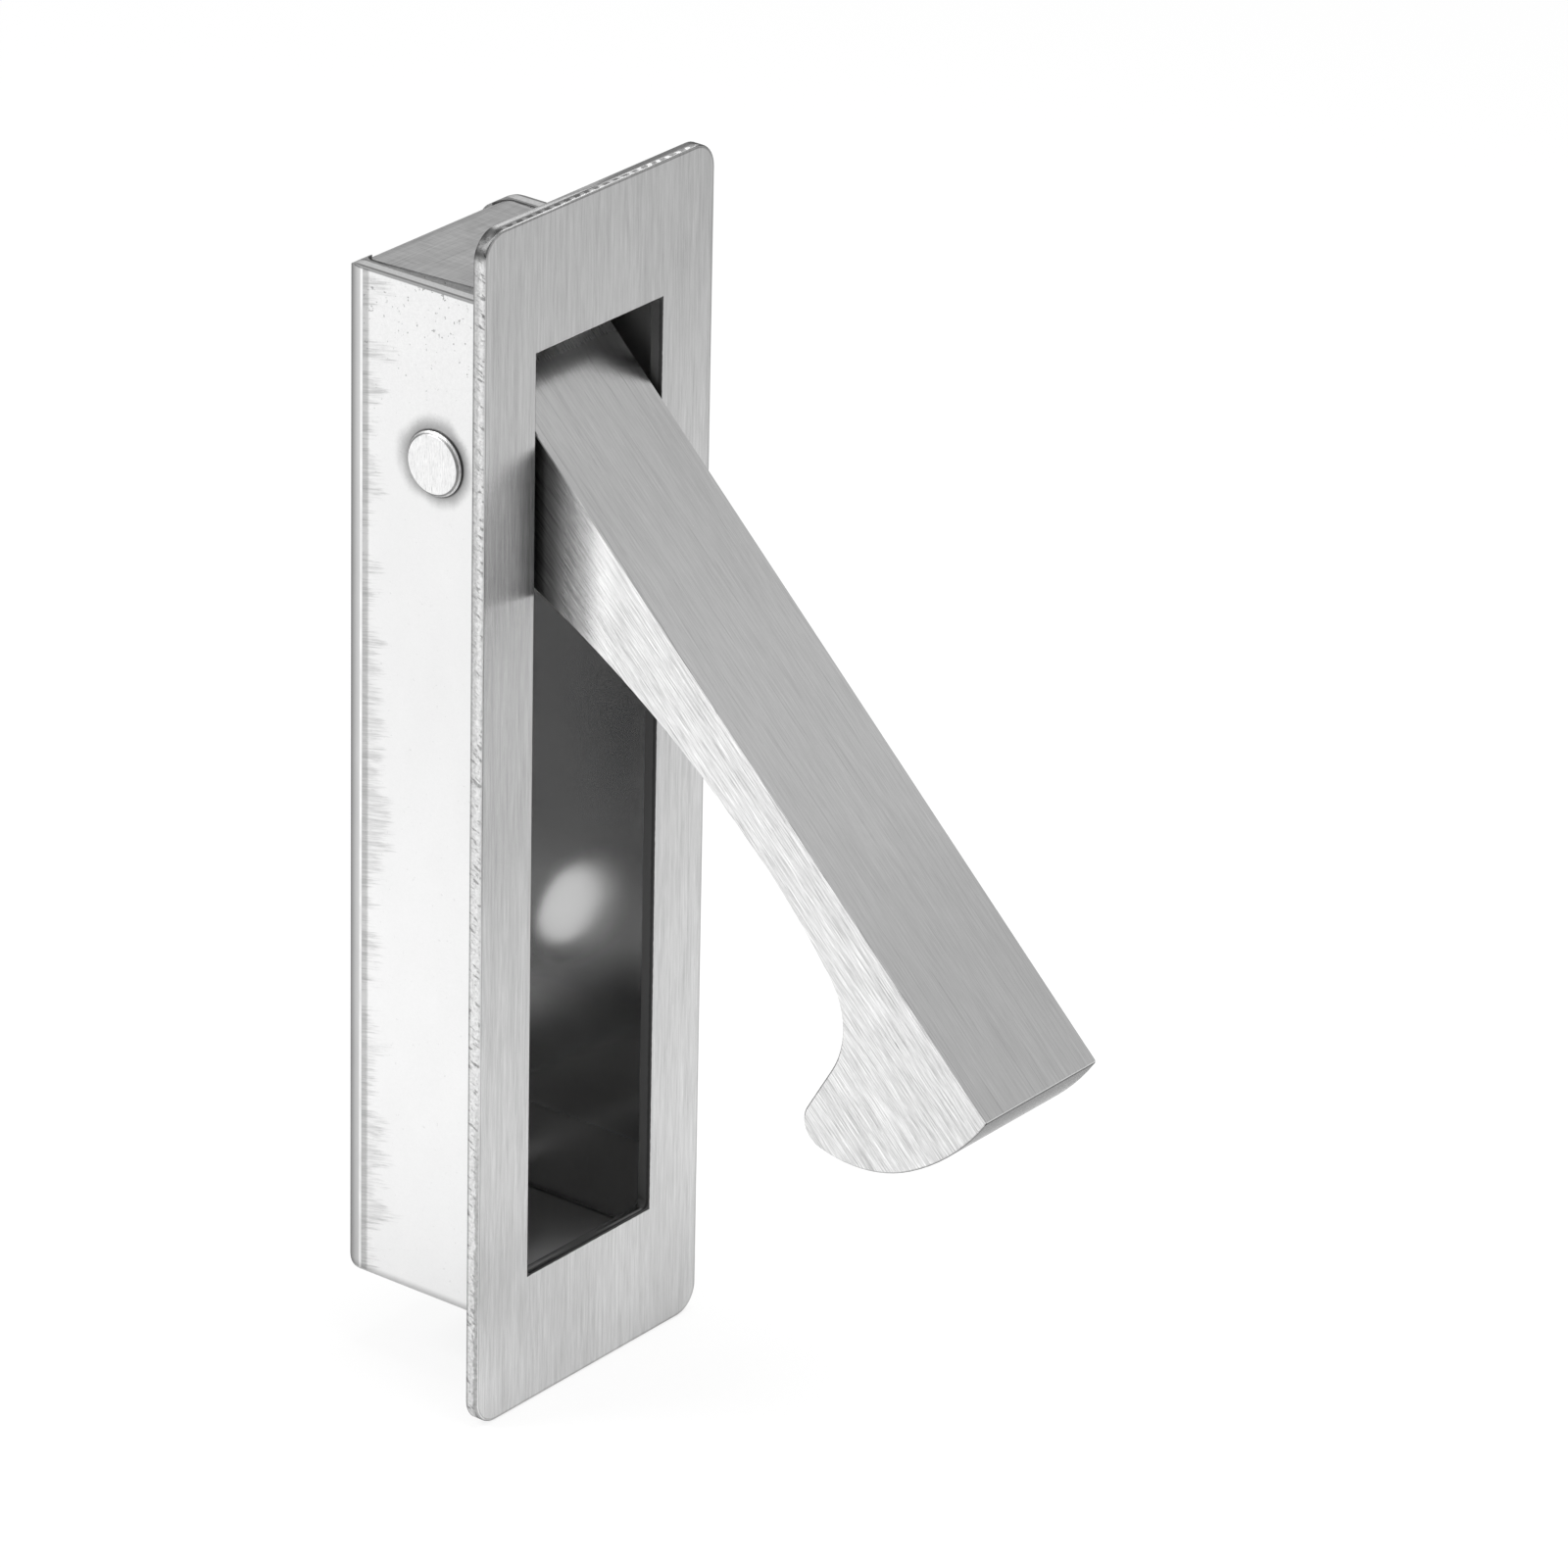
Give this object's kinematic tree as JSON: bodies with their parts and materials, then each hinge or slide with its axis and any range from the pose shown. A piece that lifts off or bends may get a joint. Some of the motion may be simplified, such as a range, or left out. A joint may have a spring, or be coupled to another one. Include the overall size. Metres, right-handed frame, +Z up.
{
  "type": "pocket door pull",
  "caption": "Recessed edge pull for a pocket door: a slim faceplate with a folded box behind it, and a hooked lever that swings out on a riveted pin.",
  "frame": {"origin": "centre of the plate's back plane, in the middle of the window, where the plate seats on the door's edge", "axes": "+Y goes into the door, +Z is up along the plate, +X is across the plate"},
  "size_m": [0.03, 0.0673, 0.11],
  "materials": {
    "plate_steel": "fine lengthwise brushing",
    "housing_steel": "pale matte mill finish",
    "lever_steel": "coarse lengthwise brushing",
    "pin_steel": "polished with fine scratches",
    "spacer_plastic": "plain matte"
  },
  "bodies": {
    "case": {"face_plate": "plate_steel", "housing": "housing_steel", "pivot_pin": "pin_steel", "spacer_left": "spacer_plastic", "spacer_right": "spacer_plastic"},
    "lever": {"lever": "lever_steel"}
  },
  "joints": [
    {"name": "lever_pivot", "type": "hinge", "parent": "case", "child": "lever", "pos_m": [0, 0.0076, 0.0313], "axis": [-1, 0, 0], "range_deg": [-45, 44.7]}
  ]
}
